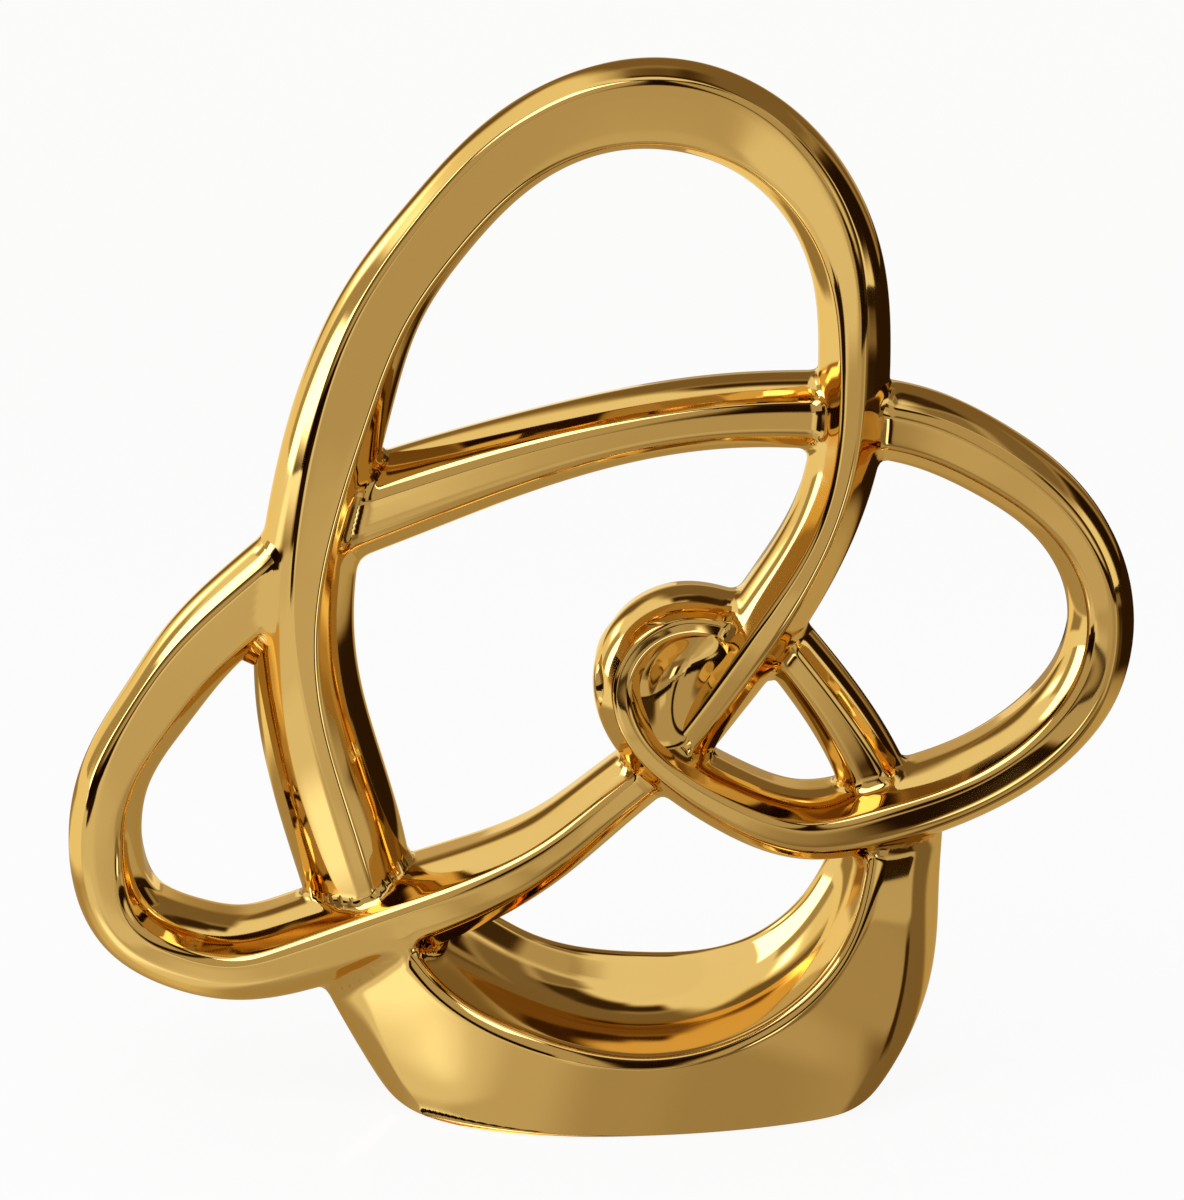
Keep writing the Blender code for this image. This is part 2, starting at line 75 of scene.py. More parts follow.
def splineThrough(marks, values, places):
    # natural cubic spline: each span blends its end values by a and b = 1 - a, plus
    # (a^3 - a) and (b^3 - b) times the end bends times step^2 / 6
    steps, count = np.diff(marks), len(marks)
    matrix, right = np.eye(count), np.zeros_like(values)
    inner = np.arange(1, count - 1)
    matrix[inner, inner - 1] = steps[:-1]
    matrix[inner, inner] = 2 * (steps[:-1] + steps[1:])
    matrix[inner, inner + 1] = steps[1:]
    slopes = np.diff(values, axis=0) / steps[:, None]
    right[1:-1] = 6 * np.diff(slopes, axis=0)
    bend = np.linalg.solve(matrix, right)
    span = np.clip(np.searchsorted(marks, places) - 1, 0, count - 2)
    step = steps[span][:, None]
    a = (marks[span + 1] - places)[:, None] / step
    b = 1 - a
    bent = (a ** 3 - a) * bend[span] + (b ** 3 - b) * bend[span + 1]
    return a * values[span] + b * values[span + 1] + bent * step ** 2 / 6


def linkMesh(name, points, faces):  # a smooth-shaded object at the origin, points in metres
    mesh = bpy.data.meshes.new(name)
    mesh.from_pydata(points.tolist(), [], faces)
    mesh.shade_smooth()
    piece = bpy.data.objects.new(name, mesh)
    bpy.context.scene.collection.objects.link(piece)
    return piece


def skinMesh(name, rows):
    # grid of points: rows along the piece, columns closed round it; a fan closes each end
    count, sides = rows.shape[:2]
    row, col = np.meshgrid(np.arange(count - 1), np.arange(sides), indexing="ij")
    after = (col + 1) % sides
    walls = np.stack([row * sides + col, row * sides + after,
                      (row + 1) * sides + after, (row + 1) * sides + col], -1).reshape(-1, 4)
    points = np.concatenate([rows.reshape(-1, 3), rows[:1].mean(axis=1), rows[-1:].mean(axis=1)])
    ring, middle, last = np.arange(sides), count * sides, (count - 1) * sides
    turn = (ring + 1) % sides
    faceList = [walls, np.stack([turn, ring, np.full(sides, middle)], -1),
                np.stack([last + ring, last + turn, np.full(sides, middle + 1)], -1)]
    if shellVolume(points, faceList) < 0:
        faceList = [part[:, ::-1] for part in faceList]
    return linkMesh(name, points * mm, [face for part in faceList for face in part.tolist()])


def shellVolume(points, faceList):  # six times the volume: sum of a . (b x c) over the triangles
    total = 0.0
    for part in faceList:
        a, b, c = points[part[:, 0]], points[part[:, 1]], points[part[:, 2]]
        total += np.einsum("ij,ij->", a, np.cross(b, c))
        if part.shape[1] == 4:
            d = points[part[:, 3]]
            total += np.einsum("ij,ij->", a, np.cross(c, d))
    return total


def finishPiece(piece, material, slot, *nodes):
    piece.data.materials.append(material)
    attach(piece, "root")
    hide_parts(*nodes)


# ---------- strands ----------

strandShape = {
    "sideForward": 0.35,  # the widest line lies this share of the half depth before the middle
    "sideRadius": 21.0,
    "sideShare": 0.72,  # of the shorter side that the widest line's rounding may take
    "otherShare": 0.24,  # and that the other corners' rounding may take
    "sideProud": 0.19,  # widens the outline by what the larger rounding cuts off
    "backRadius": 6.0,
    "backBevel": 2.5,
    "spacing": 0.7,  # between rings
    "cornerSteps": 9,
    "flatSteps": 5,
    "sampleSpacing": 0.3,  # between the centre-line samples that distances are taken from
    "sampleBatch": 4000,  # points compared with the samples at a time
    "aheadStep": 0.05,  # either way of a place, to find the line's direction
}

# Stations of each strand in the order of its run: x, y, z of the centre line, width in the
# front view, depth, outer bevel, inner bevel, rounding of the face's edges, degrees that
# the face turns inward.
tallLoopRoute = [
    (-57.5, -1, 44, 29, 29, 16.5, 9, 3, 4), (-62, -1.5, 63.5, 30.5, 31, 16.5, 10, 3, 4),
    (-69.5, -2, 97, 28, 33, 14.5, 9.5, 2.5, 6), (-70, -2.2, 119.5, 25.2, 33.6, 10.8, 8.6, 2, 8),
    (-66, -2.2, 146, 24.6, 33.6, 8.5, 7.2, 2, 8), (-59.5, -2.2, 170.5, 23.7, 33.6, 6.9, 5.2, 2, 8),
    (-50, -1.8, 194, 20.1, 33.4, 5.2, 3, 2, 8), (-37, -1.5, 212, 18.4, 33, 3.8, 2.4, 2, 8),
    (-18, -1.2, 230.5, 19, 32.6, 3.4, 2.4, 2, 8), (0.5, -1.2, 239, 20.3, 32.6, 3.4, 2.4, 2, 8),
    (18, -1.2, 240, 21.3, 32.6, 3.6, 2.6, 2, 8), (35, -1.2, 234, 20.4, 32.6, 3.8, 3.2, 2, 8),
    (48.5, -1.8, 222, 19, 32.6, 4.8, 3.6, 2.5, 8), (57.5, -2, 204, 18.2, 33, 6.5, 4.4, 3, 8),
    (60, -2.5, 182.5, 18, 34, 7.8, 5, 4, 4), (58.5, -2.5, 160.5, 17.9, 34, 7.6, 6, 5.5, 0),
    (52.5, -2.5, 139.5, 17.3, 34, 7.2, 6.2, 6, 0), (41, -2.5, 119, 18.6, 34, 7.2, 6.2, 6, 0),
    (29, -1.5, 100.5, 18.2, 30, 7.2, 6.2, 6, 0), (19, -1, 86.5, 17.8, 26, 7.2, 6.3, 6, 0),
]
leftLoopRoute = [
    (16, -1, 83, 15, 26, 5.3, 4.6, 6, 0), (2, -1, 71.5, 16, 27, 5.8, 4.6, 6, 0),
    (-12, -2, 60.5, 17.4, 30, 6.3, 4.6, 6, 0), (-29, -3, 51.5, 20.3, 34, 7.3, 5, 6, 0),
    (-49, -3.5, 44, 22.3, 35, 8.2, 5.8, 6, 0), (-72.5, -3.5, 35.5, 22.8, 35, 8.7, 6.3, 6, 0),
    (-87, -3.5, 32.5, 21.4, 34, 8.3, 6.3, 6, 0), (-100, -3, 34.5, 21.2, 33, 8.3, 6.3, 6, 0),
    (-113, -3, 42, 19.7, 32, 7.4, 5.4, 5, 4), (-119, -2.2, 61.5, 18.6, 31.6, 6.1, 4.4, 4, 8),
    (-115.5, -1.5, 80, 17.8, 31, 5, 4.3, 3, 8), (-105.5, -0.8, 96, 18.7, 29.4, 4, 4.8, 2, 8),
    (-95.5, -0.3, 109.5, 19.9, 28.4, 4.8, 4.6, 2, 8),
    (-82, -0.2, 122.5, 20.5, 27.6, 5.4, 4.2, 2, 8), (-69.5, -0.2, 133, 20.9, 27.6, 5.4, 4.2, 2, 8),
]
crossBarRoute = [
    (-66, 0.5, 140, 24, 26, 6.6, 6.6, 8, 0), (-42.5, 0.5, 148.5, 22.5, 26, 6.6, 6.6, 8, 0),
    (-14, 0.5, 158, 19.6, 26, 6.1, 6.1, 8, 0), (10, 0.5, 164, 18.4, 26, 6.1, 6.1, 8, 0),
    (33.5, 0.5, 167, 18.6, 26, 6.1, 6.1, 8, 0), (58, 0.5, 167, 19.8, 26, 6.1, 6.1, 8, 0),
]
rightLoopRoute = [
    (60.5, 0.5, 166, 19.8, 26, 5.4, 5.8, 3, 8), (76, 0.5, 163, 19.8, 26, 5.4, 5.8, 3, 8),
    (92.5, 0.5, 155.5, 18.9, 27, 5.2, 5.4, 3, 8), (108, 0.5, 144, 17.6, 28, 5.6, 5, 3, 8),
    (117, 0, 130.5, 16.9, 28, 6, 5, 4, 8), (120, 0, 116, 17.2, 29, 6.8, 4.6, 5, 8),
    (116.5, -1, 101, 18, 30, 6.8, 4.4, 5, 4), (106, -2, 88, 18, 31, 6.2, 4.4, 5, 0),
    (89.5, -3, 77.5, 17.6, 32, 6, 4.6, 5, 0), (68, -4, 70, 18.1, 33, 6.2, 4.6, 5, 0),
    (48.5, -4, 67, 17.1, 33, 6.2, 4.6, 5, 0), (31, -4, 73.5, 16.1, 33, 5.8, 5.2, 6, 0),
    (17, -4, 83, 15.6, 32, 5.8, 6, 6, 0), (9, -4, 93.5, 17.2, 31, 5.7, 8.1, 6, 0),
    (7, -3, 104, 17.7, 30, 5.7, 8.6, 6, 0), (11, -2, 113, 16.7, 29, 5.7, 7.6, 6, 0),
    (20.5, -0.5, 117.5, 15.3, 27, 5.7, 6.2, 5, 0), (32.5, 0.5, 115.5, 14.8, 25, 5.7, 5.3, 5, 0),
    (39, 0.5, 113.2, 15, 25, 5.8, 5.3, 5, 0),
]
rearLinkRoute = [
    (41, 0.5, 115, 15.8, 25, 5.3, 5.3, 6, 0), (56, 0.5, 95.5, 16.6, 25, 5.8, 5.3, 6, 0),
    (63.5, 0.5, 83, 17.6, 25, 5.8, 5.3, 6, 0), (69.5, 0.5, 69.5, 18.9, 24, 6.3, 5.8, 6, 0),
]


def strandCorners(shapes):
    # corner points of each ring's six-sided outline in (inward, backward), and their radii
    width, depth, outer, inner, edge, turn = shapes.T
    proud = strandShape["sideProud"]
    half, deep, back = width / 2 + proud, depth / 2, strandShape["backBevel"] + proud
    outer, inner = outer + proud, inner + proud
    side = -deep * strandShape["sideForward"]
    recess = (2 * half - outer - inner) * np.tan(np.radians(turn))
    corners = np.stack([
        np.stack([half - inner, recess - deep], 1), np.stack([half, side], 1),
        np.stack([half - back, deep], 1), np.stack([back - half, deep], 1),
        np.stack([-half, side], 1), np.stack([outer - half, -deep], 1),
    ], 1)
    broad, rear = (np.full_like(edge, strandShape[k]) for k in ("sideRadius", "backRadius"))
    return corners, np.stack([edge, broad, rear, rear, broad, edge], 1)


def cornerArcs(shapes):
    # each corner's arc: its centre lies on the bisector at radius / sin(half angle), and it
    # touches the sides at radius / tan(half angle), at most a share of the shorter side
    corners, wanted = strandCorners(shapes)
    toBefore = np.roll(corners, 1, axis=1) - corners
    toAfter = np.roll(corners, -1, axis=1) - corners
    shortest = np.minimum(np.linalg.norm(toBefore, axis=2), np.linalg.norm(toAfter, axis=2))
    toBefore, toAfter = unit(toBefore), unit(toAfter)
    halfAngle = np.arccos(np.clip((toBefore * toAfter).sum(2), -1, 1)) / 2
    side, other = strandShape["sideShare"], strandShape["otherShare"]
    share = np.array([other, side, other, other, side, other])
    setback = np.minimum(wanted / np.tan(halfAngle), share * shortest)
    radius = setback * np.tan(halfAngle)
    centre = corners + unit(toBefore + toAfter) * (radius / np.sin(halfAngle))[..., None]
    start = unit(corners + toBefore * setback[..., None] - centre)
    end = unit(corners + toAfter * setback[..., None] - centre)
    return centre, radius, start, end


def strandOutline(shapes):
    # arc points turn evenly from the start direction to the end direction; points along
    # the flats between two arcs are spaced evenly
    centre, radius, start, end = cornerArcs(shapes)
    angle = np.arccos(np.clip((start * end).sum(2), -1, 1))[..., None, None]
    place = np.linspace(0, 1, strandShape["cornerSteps"])[:, None]
    turned = (np.sin((1 - place) * angle) * start[:, :, None]
              + np.sin(place * angle) * end[:, :, None])
    arcs = centre[:, :, None] + turned / np.sin(angle) * radius[..., None, None]
    follow = np.roll(arcs[:, :, :1], -1, axis=1)
    along = (np.arange(1, strandShape["flatSteps"]) / strandShape["flatSteps"])[:, None]
    flats = arcs[:, :, -1:] * (1 - along) + follow * along
    return np.concatenate([arcs, flats], axis=2).reshape(len(shapes), -1, 2)


def strandLine(route, spacing):
    # centre line, its frame (inward, backward) and section sizes at an even spacing
    stations = np.array(route, float)
    lengths = np.linalg.norm(np.diff(stations[:, :3], axis=0), axis=1)
    marks = np.concatenate([[0], np.cumsum(lengths)])
    places = np.linspace(0, marks[-1], round(marks[-1] / spacing) + 1)
    shapes = splineThrough(marks, stations, places)
    step = strandShape["aheadStep"]
    forward = unit(splineThrough(marks, stations[:, :3], places + step)
                   - splineThrough(marks, stations[:, :3], places - step))
    toBack = np.array([0.0, 1.0, 0.0])
    backward = unit(toBack - forward * forward[:, 1:2])
    return {"centre": shapes[:, :3], "shape": shapes[:, 3:], "forward": forward,
            "backward": backward, "inward": np.cross(backward, forward)}


def strandRows(route):
    line = strandLine(route, strandShape["spacing"])
    outline = strandOutline(line["shape"])
    return (line["centre"][:, None] + outline[..., :1] * line["inward"][:, None]
            + outline[..., 1:] * line["backward"][:, None])


def nearestSample(points, samples):
    nearest = np.empty(len(points), int)
    size, batch = (samples ** 2).sum(1), strandShape["sampleBatch"]
    for first in range(0, len(points), batch):
        part = points[first:first + batch]
        nearest[first:first + batch] = np.argmin(size - 2 * part @ samples.T, axis=1)
    return nearest


def strandField(route):
    # signed distance to a strand: the point is dropped on the nearest place of the centre
    # line, and the distance is taken to the rounded outline in the section plane there
    line = strandLine(route, strandShape["sampleSpacing"])
    last = len(line["centre"]) - 1
    spacing = np.linalg.norm(line["centre"][1] - line["centre"][0])

    def distance(points):
        near = nearestSample(points, line["centre"])
        ahead = ((points - line["centre"][near]) * line["forward"][near]).sum(1)
        place = np.clip(near + ahead / spacing, 0, last)
        low = np.minimum(place.astype(int), last - 1)
        share = (place - low)[:, None]
        at = {key: value[low] * (1 - share) + value[low + 1] * share
              for key, value in line.items()}
        offset = points - at["centre"]
        flat = np.stack([(offset * at["inward"]).sum(1), (offset * at["backward"]).sum(1)], 1)
        beyond = np.abs((offset * at["forward"]).sum(1)) * ((place <= 0) | (place >= last))
        inPlane = outlineDistance(flat, at["shape"])
        return np.where(beyond > 0, np.hypot(np.maximum(inPlane, 0), beyond), inPlane)

    return distance


def outlineDistance(flat, shapes):
    # to a convex outline with rounded corners: from the arc's centre less the radius where
    # the point lies between that arc's two end directions, otherwise the farthest side
    centre, radius, start, end = cornerArcs(shapes)
    away = flat[:, None] - centre
    afterStart = start[..., 0] * away[..., 1] - start[..., 1] * away[..., 0] >= 0
    beforeEnd = away[..., 0] * end[..., 1] - away[..., 1] * end[..., 0] >= 0
    notThere = -1000.0
    toArc = np.where(afterStart & beforeEnd, np.linalg.norm(away, axis=2) - radius, notThere)
    toSide = (away * end).sum(2) - radius
    inArc = toArc.max(axis=1)
    return np.where(inArc > notThere, inArc, toSide.max(axis=1))


# ---------- cradle foot ----------

# Each rib, seen from a hub: angle from straight down, radius and depth of the front ridge,
# how far the skirt's face leans back per millimetre, radius and depth of the rear rim and
# of the dish trough, radius of the widest line, bulge beyond it, half depth at the rear.
cradleShape = {
    "hub": (9.5, 75.0),
    "ribs": [
        (-63.0, 64.1, -18.2, 0.5, 55.0, 10.5, 63.0, 1.0, 76.0, 14.5, 15.4),
        (-50.0, 63.6, -24.8, 0.44, 50.5, 18.5, 62.0, 3.0, 83.0, 10.5, 24.1),
        (-30.0, 57.4, -34.8, 0.1, 49.0, 25.0, 62.0, 5.0, 92.0, 9.5, 33.6),
        (0.0, 54.6, -40.1, 0.0, 48.2, 28.0, 63.0, 6.0, 88.0, 20.0, 39.6),
        (30.0, 56.6, -35.8, 0.2, 51.0, 25.0, 62.0, 5.0, 89.0, 10.0, 34.5),
        (55.0, 58.5, -27.0, 0.48, 50.0, 18.0, 58.0, 3.0, 77.0, 10.0, 26.2),
        (72.0, 56.6, -21.5, 0.6, 49.0, 13.0, 56.0, 1.0, 68.0, 9.0, 19.5),
        (86.0, 55.5, -15.5, 0.6, 49.0, 8.5, 54.0, 0.0, 66.0, 8.0, 13.8),
    ],
    "rings": 330,
    "fieldRings": 500,
    "frontSteps": 16,
    "rearSteps": 24,
    "noseSteps": 9,
    "troughSteps": 12,
    "dishSteps": 8,
    "ridgeRounding": 4.5,
    "rimRounding": 8.0,
    "troughRounding": 11.0,
    "roundingShare": 0.45,  # of a side that a rounding may take at most
    "rimDepthShare": 0.98,  # of the half depth that the rear rim may reach
    "rearTrim": 0.86,  # share of the rear ellipse before the rim's rounding
    "footHeight": 0.4,  # the pads lift the foot ring this far
    "footEdge": 1.6,  # rounding where the skirt turns under
    "ringWidth": 7.0,
    "recessDepth": 1.9,
    "recessStep": 2.0,  # width of the step up into the recess
}


def bezier(before, corner, after, steps):  # quadratic curve past a corner
    place = np.linspace(0, 1, steps)[None, :, None]
    return (before[:, None] * (1 - place) ** 2 + corner[:, None] * 2 * place * (1 - place)
            + after[:, None] * place ** 2)


def toward(start, target, distance):
    way = target - start
    length = np.linalg.norm(way, axis=1, keepdims=True)
    return start + way / length * np.minimum(distance, cradleShape["roundingShare"] * length)


def frontSkirt(ridge, slope, widest, bulge, steps):
    # radius = widest + bulge * cos(angle), depth = (ridge depth + slope * way from the
    # ridge) * sin(angle): a straight face from the ridge, closed by a quarter ellipse
    start = ridge[:, :1] + cradleShape["ridgeRounding"]
    face = start + (widest[:, None] - start) * np.linspace(0, 1, steps)[None, :-1]
    angle = np.pi / 2 * np.linspace(1, 0, steps)[None]
    across = np.concatenate([face, widest[:, None] + bulge[:, None] * np.cos(angle)], 1)
    closing = np.concatenate([np.ones(steps - 1)[None], np.sin(angle)], 1)
    depth = (ridge[:, 1:] + slope[:, None] * (across - ridge[:, :1])) * closing
    return np.stack([across, depth], 2)


def rearSkirt(rim, widest, bulge, deep, steps):
    # radius = widest + axis * cos(angle), depth = half depth * sin(angle): two half
    # ellipses that share a depth, from the outermost point round to the rim
    turn = np.pi - np.arcsin(rim[:, 1] / deep)
    innerAxis = (widest - rim[:, 0]) / -np.cos(turn)
    angle = (turn * cradleShape["rearTrim"])[:, None] * np.linspace(0, 1, steps)[None]
    axis = np.where(np.cos(angle) > 0, bulge[:, None], innerAxis[:, None])
    return np.stack([widest[:, None] + axis * np.cos(angle), deep[:, None] * np.sin(angle)], 2)


def cradleOutline(angles, detail=1):
    # closed outline of each rib in (radius, backward): skirt, rear rim, dish, front ridge
    size = cradleShape
    ribs = np.array(size["ribs"])
    shapes = splineThrough(ribs[:, 0], ribs[:, 1:], angles)
    ridge, slope = shapes[:, 0:2], shapes[:, 2]
    rim, trough = shapes[:, 3:5].copy(), shapes[:, 5:7]
    widest, bulge, deep = shapes[:, 7], shapes[:, 8], shapes[:, 9]
    rim[:, 1] = np.minimum(rim[:, 1], size["rimDepthShare"] * deep)
    front = frontSkirt(ridge, slope, widest, bulge, size["frontSteps"] * detail)
    rear = rearSkirt(rim, widest, bulge, deep, size["rearSteps"] * detail)
    ridgeStart = toward(ridge, trough, size["ridgeRounding"])
    rimEnd = toward(rim, trough, size["rimRounding"])
    dishRear = toward(trough, rim, size["troughRounding"])
    dishFront = toward(trough, ridge, size["troughRounding"])
    between = np.linspace(0, 1, size["dishSteps"])[None, 1:-1, None]
    toDish = rimEnd[:, None] * (1 - between) + dishRear[:, None] * between
    toRidge = dishFront[:, None] * (1 - between) + ridgeStart[:, None] * between
    nose = size["noseSteps"] * detail
    return np.concatenate([
        bezier(ridgeStart, ridge, front[:, 0], nose)[:, :-1], front, rear[:, 1:],
        bezier(rear[:, -1], rim, rimEnd, nose)[:, 1:], toDish,
        bezier(dishRear, trough, dishFront, size["troughSteps"] * detail), toRidge,
    ], axis=1)


def cradleRows():
    angles = np.linspace(cradleShape["ribs"][0][0], cradleShape["ribs"][-1][0],
                         cradleShape["rings"])
    outline = cradleOutline(angles, 2)
    turn = np.radians(angles)[:, None]
    hubX, hubZ = cradleShape["hub"]
    return np.stack([hubX + outline[..., 0] * np.sin(turn), outline[..., 1],
                     hubZ - outline[..., 0] * np.cos(turn)], 2)


def cradleField():
    # signed distance in the rib plane: to the nearest segment of the outline at the
    # point's own angle about the hub, negative inside it
    angles = np.linspace(cradleShape["ribs"][0][0], cradleShape["ribs"][-1][0],
                         cradleShape["fieldRings"])
    outlines = cradleOutline(angles)
    hubX, hubZ = cradleShape["hub"]

    def distance(points):
        angle = np.degrees(np.arctan2(points[:, 0] - hubX, hubZ - points[:, 2]))
        radius = np.hypot(points[:, 0] - hubX, hubZ - points[:, 2])
        place = np.clip((angle - angles[0]) / (angles[1] - angles[0]), 0, len(angles) - 1)
        beyond = np.radians(np.maximum(angles[0] - angle, angle - angles[-1])) * radius
        low = np.minimum(place.astype(int), len(angles) - 2)
        share = (place - low)[:, None, None]
        start = outlines[low] * (1 - share) + outlines[low + 1] * share
        flat, end = np.stack([radius, points[:, 1]], 1)[:, None], np.roll(start, -1, axis=1)
        way = end - start
        along = np.clip(((flat - start) * way).sum(2) / (way ** 2).sum(2), 0, 1)
        gap = np.linalg.norm(flat - start - way * along[..., None], axis=2).min(axis=1)
        above = (start[..., 1] > flat[..., 1]) != (end[..., 1] > flat[..., 1])
        slope = way[..., 0] / np.where(way[..., 1] == 0, 1e-9, way[..., 1])
        passed = start[..., 0] + (flat[..., 1] - start[..., 1]) * slope
        crossing = above & (flat[..., 0] < passed)
        signed = np.where(crossing.sum(1) % 2 == 1, -gap, gap)
        return np.where(beyond > 0, np.hypot(np.maximum(signed, 0), beyond), signed)

    return distance


def footUnder(rows):
    # the skirt's underside is pressed flat at the foot height, its turn rounded; inside the
    # foot ring it rises by a smooth step to the recess's ceiling
    points, floorHeight = rows.reshape(-1, 3).copy(), cradleShape["footHeight"]
    under = points[:, 2] < floorHeight
    above = points[:, 2] - floorHeight
    points[:, 2] = floorHeight + 0.5 * (above + np.sqrt(above ** 2 + cradleShape["footEdge"] ** 2))
    pressed = points[under].copy()
    pressed[:, 2] = floorHeight
    inside = -cradleField()(pressed) - cradleShape["ringWidth"]
    step = np.clip(inside / cradleShape["recessStep"] + 0.5, 0, 1)
    points[under, 2] += cradleShape["recessDepth"] * step ** 2 * (3 - 2 * step)
    return points.reshape(rows.shape)


# ---------- web in the curl ----------

curlWeb = {
    "centre": (16.0, 1.0, 104.0),
    "reach": (13.0, 9.0, 12.0),
    "rings": 140,
    "sides": 160,
    "poleGap": 0.01,  # radians left at each pole for its fan
    "spread": 1.3,  # the lens is this much wider than the ellipsoid it is cast from
    "castPoints": 81,  # along each side of the cast grid
    "castReach": 24.0,
    "smoothing": 70,  # times that each height is averaged with its neighbours
    "sunk": 0.1,
    "closing": 6.0,  # how soon the lens reaches its full height from the rim
}


def webRows():  # ellipsoid: centre + reach * (sin u cos v, cos u, sin u sin v)
    u = np.linspace(curlWeb["poleGap"], np.pi - curlWeb["poleGap"], curlWeb["rings"])[:, None]
    v = np.linspace(0, 2 * np.pi, curlWeb["sides"], endpoint=False)[None]
    ball = np.stack([np.sin(u) * np.cos(v), np.cos(u) + 0 * v, np.sin(u) * np.sin(v)], 2)
    return np.array(curlWeb["centre"]) + ball * np.array(curlWeb["reach"])


def webField():  # near an ellipsoid, distance = k (k - 1) / g, k and g being scaled lengths
    centre, reach = np.array(curlWeb["centre"]), np.array(curlWeb["reach"])

    def distance(points):
        offset = points - centre
        k = np.linalg.norm(offset / reach, axis=1)
        g = np.linalg.norm(offset / reach ** 2, axis=1)
        return k * (k - 1) / np.maximum(g, 1e-9)

    return distance


# ---------- luting: every crossing is filleted ----------

luting = {
    "reach": 0.6,  # share of the widest fillet that a skin may move out
    "rounds": 9,  # of false position
    "deepRange": 3.0,  # widest fillets below a neighbour's skin, past which nothing moves
    "sunk": 0.25,  # a skin lies this far under the neighbour's past the fillet's middle
    "sunkOver": 0.5,  # and gets there over this difference of the two distances
    "margin": 2.0,  # fillet widths round a piece within which its field is worked out
    "farAway": 50.0,
}
fillets = {  # width over which two castings are blended
    ("tallLoop", "leftLoop"): 2.2, ("tallLoop", "crossBar"): 3.0, ("tallLoop", "rightLoop"): 2.6,
    ("tallLoop", "rearLink"): 3.0, ("leftLoop", "rightLoop"): 2.6, ("rearLink", "rightLoop"): 3.0,
    ("cradle", "leftLoop"): 5.0, ("cradle", "tallLoop"): 3.0, ("cradle", "rightLoop"): 3.5,
    ("cradle", "rearLink"): 3.0, ("curlWeb", "rightLoop"): 9.0, ("curlWeb", "tallLoop"): 6.0,
}


def smoothLeast(a, b, width):  # the lesser of two distances, rounded over a width where they meet
    near = np.maximum(width - np.abs(a - b), 0) / width
    return np.minimum(a, b) - near ** 2 * width / 4


def rowNormals(rows):
    along = np.gradient(rows, axis=0)
    around = np.roll(rows, -1, axis=1) - np.roll(rows, 1, axis=1)
    normals = unit(np.cross(along, around))
    outward = ((rows - rows.mean(axis=1, keepdims=True)) * normals).sum(2)
    return normals * np.sign(np.median(outward))


def boxed(field, skin, margin):  # a field that is only worked out near its own piece
    low, high = skin.reshape(-1, 3).min(axis=0) - margin, skin.reshape(-1, 3).max(axis=0) + margin

    def distance(points):
        found = np.full(len(points), luting["farAway"])
        close = np.all((points > low) & (points < high), axis=1)
        if close.any():
            found[close] = field(points[close])
        return found

    return distance


def wayOut(start, out, own, neighbours, reach):
    # how far each point moves in its direction: to where the smooth least of its own
    # distance and the neighbours' is zero, found by false position; a point that stays
    # hidden moves the less the deeper it lies
    def blend(shift):
        places = start + out * shift[:, None]
        value = own(places)
        for field, width in neighbours:
            value = smoothLeast(value, field(places), width)
        return value

    low, high = np.zeros(len(start)), np.full(len(start), reach)
    atLow, atHigh = blend(low), blend(high)
    hidden = atHigh <= 0
    for _ in range(luting["rounds"]):
        shift = low - atLow * (high - low) / np.where(atHigh == atLow, 1e-9, atHigh - atLow)
        shift = np.clip(shift, low, high)
        value = blend(shift)
        above = value > 0
        atLow = np.where(above, atLow * 0.5, value)
        atHigh = np.where(above, value, atHigh * 0.5)
        low, high = np.where(above, low, shift), np.where(above, shift, high)
    deepest = luting["deepRange"] * max(width for _, width in neighbours)
    return np.where(hidden, reach * np.clip(1 + atHigh / deepest, 0, 1), np.maximum(shift, 0))


def luteSkin(rows, own, neighbours):
    # points near a neighbour move out along their normals to the fillet; past the middle of
    # a fillet the skin sinks under the neighbour's skin
    points, normals = rows.reshape(-1, 3), rowNormals(rows).reshape(-1, 3)
    near = np.zeros(len(points), bool)
    for field, width in neighbours:
        near |= field(points) < width
    start, out = points[near], normals[near]
    reach = max(width for _, width in neighbours) * luting["reach"]
    shift = wayOut(start, out, own, neighbours, reach)
    places = start + out * shift[:, None]
    least = np.min([field(places) for field, _ in neighbours], axis=0)
    shift -= np.clip((own(places) - least) / luting["sunkOver"], 0, 1) * luting["sunk"]
    moved = points.copy()
    moved[near] = start + out * shift[:, None]
    return moved.reshape(rows.shape)


def averaged(height, times):  # each height becomes the mean of the nine round it
    for _ in range(times):
        height = np.pad(height, 1, mode="edge")
        height = (height[:-2] + height[1:-1] + height[2:]) / 3
        height = (height[:, :-2] + height[:, 1:-1] + height[:, 2:]) / 3
    return height


